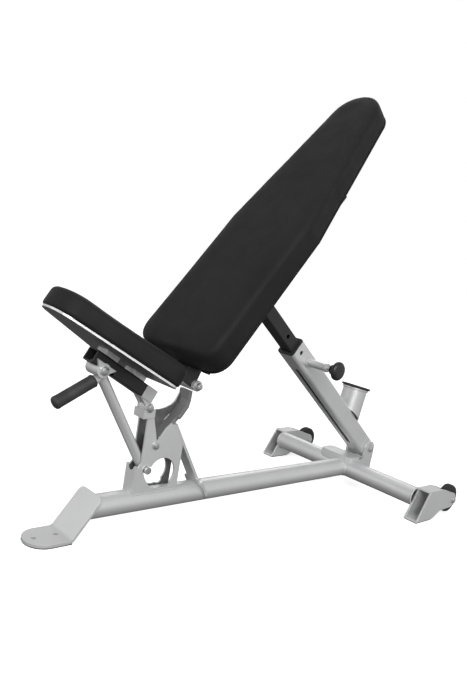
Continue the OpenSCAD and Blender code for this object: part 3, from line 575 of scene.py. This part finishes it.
def inflated(name, bm, floor_z, voxel, swell, crown):
    """Sews a pad blank shut over its foam: cloth under pressure, laid flat on its board."""
    mesh = bpy.data.meshes.new(name)
    bm.to_mesh(mesh)
    bm.free()
    obj = bpy.data.objects.new(name, mesh)
    scene.collection.objects.link(obj)
    skin = obj.modifiers.new("skin", "REMESH")
    skin.mode = "VOXEL"
    skin.voxel_size = voxel
    graph = bpy.context.evaluated_depsgraph_get()
    even = bpy.data.meshes.new_from_object(obj.evaluated_get(graph))
    obj.modifiers.clear()
    obj.data = even
    rest = [v.co.copy() for v in even.vertices]
    pinned = obj.vertex_groups.new(name="stapled")
    pinned.add([v.index for v in even.vertices if v.co.z < floor_z + 0.004], 1.0, "REPLACE")
    cloth = obj.modifiers.new("cover", "CLOTH")
    cloth.settings.quality = 5
    cloth.settings.mass = 0.3
    cloth.settings.tension_stiffness = 12
    cloth.settings.compression_stiffness = 12
    cloth.settings.bending_stiffness = 1.2
    cloth.settings.use_pressure = True
    cloth.settings.uniform_pressure_force = 4.0
    cloth.settings.vertex_group_mass = "stapled"
    cloth.settings.effector_weights.gravity = 0
    cloth.collision_settings.use_collision = False
    for step in range(1, 21):
        scene.frame_set(step)
    graph = bpy.context.evaluated_depsgraph_get()
    blown = obj.evaluated_get(graph).to_mesh()
    moved = [v.co.copy() for v in blown.vertices]
    obj.evaluated_get(graph).to_mesh_clear()
    obj.modifiers.clear()
    scene.frame_set(1)
    rise = [min(swell, max(0.0, (end - start).dot(v.normal)))
            for v, start, end in zip(even.vertices, rest, moved)]
    lift(even, [v.normal.copy() for v in even.vertices], evened(even, rise, 14))
    crown(even)
    return obj


def evened(mesh, values, rounds):
    """Spreads a value at each vertex over its neighbours, so the cover has no creases."""
    near = [[] for _ in mesh.vertices]
    for edge in mesh.edges:
        a, b = edge.vertices
        near[a].append(b)
        near[b].append(a)
    for _ in range(rounds):
        values = [0.4 * v + 0.6 * sum(values[k] for k in ring) / max(1, len(ring))
                  for v, ring in zip(values, near)]
    return values


def lift(mesh, normals, amounts):
    for v, n, amount in zip(mesh.vertices, normals, amounts):
        v.co += n * amount


def finish_pad(obj, matrix, body, instead):
    obj.data.transform(matrix)
    obj.data.shade_smooth()
    obj.data.materials.clear()
    obj.data.materials.append(VINYL)
    fine = obj.modifiers.new("fine", "SUBSURF")
    fine.levels = fine.render_levels = 1
    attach(obj, body)
    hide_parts(instead)


BACK_DISCS = [(0.071, 0.099, 0.050), (0.071, -0.099, 0.050), (0.4562, 0.075, 0.070),
              (0.4562, -0.075, 0.070), (0.888, 0.0, 0.079)]
SEAT_DISCS = [(0.074, 0.122, 0.026), (0.074, -0.122, 0.026), (0.312, 0.005, 0.062), (0.312, -0.005, 0.062)]


def shrunk(discs, by):
    return [(x, y, r - by) for x, y, r in discs]


def relaxed(mesh):
    """Vinyl drawn over the foam: faint pulls round the corners and along the sides."""
    normals = [v.normal.copy() for v in mesh.vertices]
    for v, n in zip(mesh.vertices, normals):
        pull = noise.noise(Vector((v.co.x * 9, v.co.y * 9, v.co.z * 40))) * 0.0006
        side = 1.0 - abs(n.z)
        ripple = noise.noise(Vector((v.co.x * 34, v.co.y * 34, v.co.z * 10))) * 0.0005 * side
        v.co += n * (pull + ripple)


def folded_hem(discs, low, high):
    """The cover's edge, folded under the board as a soft flat lip."""
    bm = slab(shrunk(discs, 0.0015), low, high)
    under = [f for f in bm.faces if all(abs(v.co.z - low) < 1e-5 for v in f.verts)]
    over = [f for f in bm.faces if all(abs(v.co.z - high) < 1e-5 for v in f.verts)]
    bmesh.ops.inset_region(bm, faces=under, thickness=0.026, use_even_offset=True)
    bmesh.ops.delete(bm, geom=under + over, context="FACES")
    outer = [e for e in rim_edges(bm, low) if len(e.link_faces) == 2 and e.calc_face_angle() > 1.0]
    soften(bm, outer, 0.0032, 4)
    bmesh.ops.subdivide_edges(bm, edges=[e for e in bm.edges if e.calc_length() > 0.02], cuts=3,
                              use_grid_fill=True)
    for v in bm.verts:
        if v.co.z < low + 0.001:
            fold = noise.noise(Vector((v.co.x * 60, v.co.y * 60, 3.0)))
            v.co.z -= max(0.0, fold) * 0.0010
    bmesh.ops.recalc_face_normals(bm, faces=bm.faces)
    return bm


def staple_run(discs, z):
    """Wire staples along the hem, one every few centimetres."""
    guide = slab(shrunk(discs, 0.016), z, z + 0.01)
    loop = sorted((e for e in rim_edges(guide, z)), key=lambda e: -e.calc_length())
    parts = []
    for edge in loop:
        a, b = (v.co for v in edge.verts)
        length = (b - a).length
        if length < 0.012:
            continue
        count = max(1, int(length / 0.034))
        for k in range(count):
            at = a.lerp(b, (k + 0.5) / count)
            run = frame_at(at, b - a, (0, 0, 1))
            parts.append(block((0.0105, 0.0012, 0.0012), run, 0.0003, 1))
    guide.free()
    return joined(*parts)


def make_pads():
    bm = slab(shrunk(BACK_DISCS, 0.002), BOARD_TOP, BACK_PAD_TOP)
    soften(bm, rim_edges(bm, BACK_PAD_TOP), 0.016, 5)
    soften(bm, rim_edges(bm, BOARD_TOP), 0.005, 2)
    pad = inflated("back_pad", bm, BOARD_TOP, 0.0062, 0.0055, relaxed)
    finish_pad(pad, IN_BACK, "backrest", "back_cushion")
    hem = folded_hem(BACK_DISCS, 0.0486, 0.0535)
    add_piece("back_cover_hem", placed(hem, IN_BACK), VINYL, "backrest")
    add_piece("back_staples", placed(staple_run(BACK_DISCS, 0.0485), IN_BACK), ZINC, "backrest")

    bm = slab(shrunk(SEAT_DISCS, 0.004), SEAT_PLATE_TOP, SEAT_PAD_TOP)
    soften(bm, rim_edges(bm, SEAT_PAD_TOP), 0.014, 5)
    soften(bm, rim_edges(bm, SEAT_PLATE_TOP), 0.004, 2)
    pad = inflated("seat_pad", bm, SEAT_PLATE_TOP, 0.0046, 0.0050, relaxed)
    finish_pad(pad, IN_SEAT, "seat", "seat_cushion")


make_pads()

# ------------------------------------------------------------- front foot


def make_front_foot():
    """One folded plate: round-nosed tongue with two holes, soft bend, web under the spine."""
    low = Vector(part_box("front_foot")[0])
    thick, wide = 0.007, 0.094
    bend_x, bend_r = low.x + 0.0866, 0.020
    slope = WEB_SLOPE
    web = 0.108
    tongue = bend_x - low.x
    arc = bend_r * slope
    total = tongue + arc + web
    bm = bmesh.new()
    bmesh.ops.create_grid(bm, x_segments=96, y_segments=28, size=0.5)
    for v in bm.verts:
        u = (v.co.x + 0.5) * total
        nose = wide / 2
        half = sqrt(max(0.0, nose ** 2 - (nose - u) ** 2)) if u < nose else nose
        left = total - u
        corner = 0.016
        if left < corner:
            half = nose - corner + sqrt(max(0.0, corner ** 2 - (corner - left) ** 2))
        v.co = Vector((u, v.co.y * 2 * half, 0))
    bmesh.ops.remove_doubles(bm, verts=bm.verts, dist=1e-5)
    bmesh.ops.recalc_face_normals(bm, faces=bm.faces)
    bmesh.ops.solidify(bm, geom=bm.faces, thickness=thick)
    low_z = min(v.co.z for v in bm.verts)
    for v in bm.verts:
        v.co.z -= low_z
    for v in bm.verts:
        u, h = v.co.x, v.co.z
        r = bend_r
        if u <= tongue:
            x, z = u, h
        elif u < tongue + arc:
            a = (u - tongue) / r
            x, z = tongue + (r - h) * sin(a), r - (r - h) * cos(a)
        else:
            w = u - tongue - arc
            x = tongue + (r - h) * sin(slope) + w * cos(slope)
            z = r - (r - h) * cos(slope) + w * sin(slope)
        v.co.x, v.co.z = low.x + x, 0.003 + z
    bmesh.ops.recalc_face_normals(bm, faces=bm.faces)
    foot = add_piece("front_foot_plate", bm, SILVER, "base", ("front_foot",))
    for x in (-0.027, 0.027):
        drill = turned([(0, -0.02), (0.0055, -0.02), (0.0055, 0.04), (0, 0.04)],
                       Matrix.Translation((-0.6052 + x, 0, 0)), 32)
        mesh = bpy.data.meshes.new("drill")
        drill.to_mesh(mesh)
        drill.free()
        cutter = bpy.data.objects.new("drill", mesh)
        scene.collection.objects.link(cutter)
        cut = foot.modifiers.new("hole", "BOOLEAN")
        cut.object = cutter
        cut.solver = "EXACT"
        graph = bpy.context.evaluated_depsgraph_get()
        new = bpy.data.meshes.new_from_object(foot.evaluated_get(graph))
        foot.modifiers.clear()
        foot.data = new
        bpy.data.objects.remove(cutter)
    foot.data.set_sharp_from_angle(angle=radians(38))


make_front_foot()

# ------------------------------------------------------- turned hardware

ACROSS_NEAR = Vector((0, -1, 0))


def make_grip():
    """Rubber sleeve with a rolled mouth and a domed end, on the handle rod."""
    a = radians(HANDLE_DIR)
    axis = Vector((cos(a), 0, sin(a)))
    root = Vector((-0.514294, 0, 0.380722))
    at = pointing(root + axis * 0.020, axis)
    r = 0.015
    section = [(0.0083, 0.0), (0.0128, 0.0), (0.0146, 0.0012), (r + 0.0006, 0.0035), (r + 0.0006, 0.0062),
               (r, 0.0085), (r, 0.096), (r + 0.0006, 0.099), (r + 0.0004, 0.1025), (0.0135, 0.1062),
               (0.0105, 0.1078), (0.004, 0.1084), (0.0, 0.1084)]
    add_piece("grip_sleeve", turned(section, at, 56), GRIP, "prop", ("handle_grip",))


def make_knob():
    """Mushroom knob with a waisted neck, a rounded rim and a shallow dished face."""
    low, high = (Vector(c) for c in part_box("pop_knob"))
    centre = (low + high) / 2
    at = pointing(Vector((centre.x, high.y, centre.z)), ACROSS_NEAR)
    length = high.y - low.y
    section = [(0.0055, 0.0), (0.0128, 0.0), (0.0138, 0.0012), (0.0134, 0.005), (0.0122, 0.009),
               (0.0130, 0.0122), (0.0180, 0.0146), (0.0235, 0.0158), (0.0262, 0.0185), (0.0270, 0.0220),
               (0.0266, 0.0258), (0.0240, 0.0292), (0.0195, 0.0312), (0.0130, 0.0319),
               (0.0060, length), (0.0, length)]
    add_piece("pull_knob", turned(section, at, 64), KNOB, "pop_pin", ("pop_knob",))


def make_pop_collars():
    """Pressed rings at both ends of the pull pin's housing."""
    low, high = (Vector(c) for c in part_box("pop_housing"))
    centre = (low + high) / 2
    at = pointing(Vector((centre.x, high.y, centre.z)), ACROSS_NEAR)
    length = high.y - low.y
    foot = [(0.0112, 0.0003), (0.0140, 0.0003), (0.0146, 0.0010), (0.0146, 0.0052), (0.0138, 0.0064),
            (0.0112, 0.0072), (0.0112, 0.0003)]
    lip = [(0.0111, length - 0.009), (0.0122, length - 0.009), (0.0126, length - 0.008),
           (0.0126, length - 0.0012), (0.0120, length - 0.0002), (0.0111, length - 0.0002),
           (0.0111, length - 0.009)]
    add_piece("pop_collars", joined(turned(foot, at, 44), turned(lip, at, 44)), SILVER, "strut_outer")


def make_stop():
    """The rubber stop on its post: a welded flange and a stepped pad with a soft rim."""
    tilt = radians(STOP_TILT)
    axis = Vector((sin(tilt), 0, cos(tilt)))
    cap = middle("stop_cap")
    pad = [(0.0, -0.0035), (0.0455, -0.0035), (0.0468, -0.0028), (0.0470, -0.0016), (0.0470, 0.0010),
           (0.0464, 0.0026), (0.0445, 0.0034), (0.0400, 0.0035), (0.0375, 0.0031), (0.0365, 0.0022),
           (0.0, 0.0020)]
    add_piece("stop_pad", turned(pad, pointing(cap, axis), 72), RUBBER, "strut_outer",
              ("stop_cap",))
    collar = middle("stop_flange")
    ring_section = rounded_profile(0.042, -0.0035, 0.0035, 0.0014)
    add_piece("stop_ring", turned(ring_section, pointing(collar, axis), 72), SILVER, "strut_outer",
              ("stop_flange",))


def make_wheels():
    for side, word in ((1, "left"), (-1, "right")):
        centre = middle("wheel_tyre_" + word)
        at = pointing(centre, (0, side, 0))
        tread = [(0.0222, -0.0105), (0.030, -0.0120), (0.0385, -0.0120), (0.0422, -0.0104), (0.0438, -0.0072),
                 (0.0440, -0.0040), (0.0432, -0.0034), (0.0432, -0.0022), (0.0440, -0.0016), (0.0440, 0.0016),
                 (0.0432, 0.0022), (0.0432, 0.0034), (0.0440, 0.0040), (0.0438, 0.0072), (0.0422, 0.0104),
                 (0.0385, 0.0120), (0.030, 0.0120), (0.0222, 0.0105), (0.0222, -0.0105)]
        add_piece("tyre_" + word, turned(tread, at, 80), TYRE, "wheel_" + word,
                  ("wheel_tyre_" + word,))
        web = [(0.0051, -0.0170), (0.0095, -0.0170), (0.0100, -0.0160), (0.0100, -0.0060), (0.0120, -0.0045),
               (0.0180, -0.0045), (0.0192, -0.0060), (0.0196, -0.0095), (0.0212, -0.0100), (0.0220, -0.0090),
               (0.0220, 0.0090), (0.0212, 0.0100), (0.0196, 0.0095), (0.0192, 0.0060), (0.0180, 0.0045),
               (0.0120, 0.0045), (0.0100, 0.0060), (0.0100, 0.0160), (0.0095, 0.0170), (0.0051, 0.0170),
               (0.0051, -0.0170)]
        add_piece("wheel_core_" + word, turned(web, at, 56), HUB, "wheel_" + word,
                  ("wheel_hub_" + word,))


# node, body, shaft radius, head flats, head height, washer radius, washer thickness
BOLTS = (
    ("back_pivot_bolt", "hinge_bolt", "base", 0.006, 0.017, 0.007, 0.012, 0.002),
    ("seat_pivot_bolt", "seat_bolt", "base", 0.006, 0.017, 0.007, 0.0, 0.0),
    ("strut_foot_bolt", "strut_bolt", "base", 0.006, 0.019, 0.008, 0.0, 0.0),
    ("upright_tie_bolt", "tie_bolt", "base", 0.005, 0.017, 0.006, 0.0, 0.0),
    ("seat_clevis_bolt", "clevis_bolt", "seat", 0.006, 0.019, 0.007, 0.0, 0.0),
)


def through_bolt(low_y, high_y, x, z, shaft, flats, height, washer_r, washer_t):
    near = pointing((x, low_y + height, z), (0, -1, 0))
    far = pointing((x, high_y - height, z), (0, 1, 0))
    reach = high_y - low_y - 2 * height
    parts = [hex_head(near, flats, height), hex_head(far, flats, height * 0.9, 0.004),
             turned([(0, 0), (shaft, 0), (shaft, -reach), (0, -reach)], near, 28)]
    if washer_r:
        for end in (near, far):
            parts.append(turned(rounded_profile(washer_r, -washer_t, 0, washer_t * 0.3, shaft, 3), end, 40))
    return joined(*parts)


def make_bolts():
    for node, name, body, shaft, flats, height, washer_r, washer_t in BOLTS:
        low, high = (Vector(c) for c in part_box(node))
        centre = (low + high) / 2
        bm = through_bolt(low.y, high.y, centre.x, centre.z, shaft, flats, height, washer_r, washer_t)
        add_piece(name, bm, ZINC, body, (node,))
    parts = []
    for side in (-1, 1):
        y = side * AXLE.y
        parts.append(through_bolt(y - 0.0285, y + 0.0285, AXLE.x, AXLE.z, 0.005, 0.017, 0.006,
                                  0.0, 0.0))
    add_piece("axle_bolts", joined(*parts), ZINC, "base", ("wheel_axles",))
    parts = []
    under, rail = 0.0505 - 0.038, 0.0515
    for x in (0.074, 0.3804, 0.610):
        for side in (-1, 1):
            at = IN_BACK @ Matrix.Translation((x, side * rail, under)) @ Matrix.Rotation(pi, 4, "X")
            parts.append(washer(at, 0.0095, 0.0, 0.0012))
            parts.append(turned([(0.0, 0.0), (0.007, 0.0), (0.0068, 0.0022), (0.0048, 0.0038),
                                 (0.0022, 0.0040), (0.0020, 0.0022), (0.0, 0.0022)], at, 32))
            parts.append(turned([(0, 0), (0.004, 0), (0.004, -0.046), (0, -0.046)], at, 20))
    add_piece("pad_screws", joined(*parts), ZINC, "backrest", ("back_pad_screws",))


make_grip()
make_knob()
make_pop_collars()
make_stop()
make_wheels()
make_bolts()

# ------------------------------------------------------------- weld beads


def weld(name, points, body, radius=0.0022, closed=False):
    """A painted fillet along a joint, with the ripple of each pass."""
    line = bpy.data.curves.new(name, "CURVE")
    line.dimensions = "3D"
    line.bevel_depth = radius
    line.bevel_resolution = 3
    line.use_fill_caps = True
    run = line.splines.new("POLY")
    run.points.add(len(points) - 1)
    for k, (knot, at) in enumerate(zip(run.points, points)):
        knot.co = (*at, 1)
        knot.radius = 1.0 + 0.16 * sin(k * 2.1)
    run.use_cyclic_u = closed
    line.materials.append(WELD)
    obj = bpy.data.objects.new(name, line)
    scene.collection.objects.link(obj)
    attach(obj, body)


def ring(centre, r, normal, steps=44):
    at = pointing(centre, normal)
    return [at @ Vector((r * cos(a), r * sin(a), 0)) for a in (2 * pi * k / steps for k in range(steps))]


def straight(a, b, steps=24):
    return [Vector(a).lerp(Vector(b), k / steps) for k in range(steps + 1)]


def make_welds():
    r, z = FRAME_TUBE_R, FRAME_TUBE_Z
    saddle = []
    for k in range(64):
        a = 2 * pi * k / 64
        saddle.append(Vector((CROSS_X - r * abs(cos(a)), r * cos(a), z + r * sin(a))))
    weld("weld_spine", saddle, "base", 0.0026, True)
    for word, side in (("left", 1), ("right", -1)):
        weld("weld_bracket_" + word, ring((CROSS_X, side * 0.2800, z), r, (0, 1, 0)), "base", 0.0024, True)
        y = side * 0.0195
        top = z + sqrt(r * r - y * y)
        weld("weld_upright_" + word, straight((-0.394, y, top), (-0.258, y, top), 30), "base")
    weld("weld_toe", straight((-0.3955, -0.019, z + 0.0218), (-0.3955, 0.019, z + 0.0218), 10), "base", 0.002)
    front = [Vector((-0.5602 + (z + r * sin(a) - 0.0035) / 1.3442, r * cos(a), z + r * sin(a)))
             for a in (2 * pi * k / 48 for k in range(48))]
    weld("weld_front", front, "base", 0.0024, True)
    low, high = (Vector(c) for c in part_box("pop_housing"))
    centre = (low + high) / 2
    weld("weld_pop_housing", ring((centre.x, high.y, centre.z), 0.0114, (0, 1, 0), 26), "strut_outer",
         0.0016, True)


make_welds()

# --------------------------------------------------------------- finishes

PAINT = {
    "silver_powder": ("spine_tube", "front_foot", "cross_tube", "bracket_left", "bracket_right",
                      "upright_plate_right", "upright_toe_plate", "upright_collar",
                      "upright_brace", "horn_eye", "junction_plinth", "strut_ears", "strut_outer_tube",
                      "stop_post", "stop_flange", "pop_housing", "seat_end_block", "prop_sleeve",
                      "prop_tube", "handle_rod", "back_hinge_sleeve", "seat_hinge_sleeve", "seat_clevis"),
    # the far upright plate's inward face carries painted shade
    "silver_inner_shade": ("upright_plate_left",),
    # the horn takes the darker copy of the silver: painted shade under the pads
    "horn_shaded_silver": ("horn",),
    "black_powder": ("back_rails", "back_hinge_bracket", "back_slot_plates", "back_stop_beam",
                     "strut_inner_tube", "seat_beam"),
    "black_vinyl": ("back_cushion", "seat_cushion"),
    "black_ply": ("back_board",),
    # the seat plate's flats carry painted shade
    "seat_plate_shaded_steel": ("seat_plate", "seat_spacers"),
    "zinc_plate": ("wheel_axles", "upright_tie_bolt", "back_pivot_bolt", "seat_pivot_bolt",
                   "strut_foot_bolt", "seat_clevis_bolt", "back_pad_screws", "strut_top_pin", "prop_pin",
                   "pop_plunger"),
    "spring_wire": ("pop_spring",),
    "foot_rubber": ("front_foot_pad", "rear_foot_pads", "stop_cap"),
    "grip_rubber": ("handle_grip",),
    "tyre_rubber": ("wheel_tyre_left", "wheel_tyre_right"),
    "hub_nylon": ("wheel_hub_left", "wheel_hub_right"),
    "black_nylon": ("strut_foot_bush", "strut_foot_plug", "strut_mouth_bush", "strut_inner_plug"),
    "knob_plastic": ("pop_knob",),
}


def paint_frame():
    """Gives every node of the frame its finish."""
    for finish, names in PAINT.items():
        for name in names:
            obj = nodes[name]
            obj.data.materials.clear()
            obj.data.materials.append(bpy.data.materials[finish])


paint_frame()
studio()
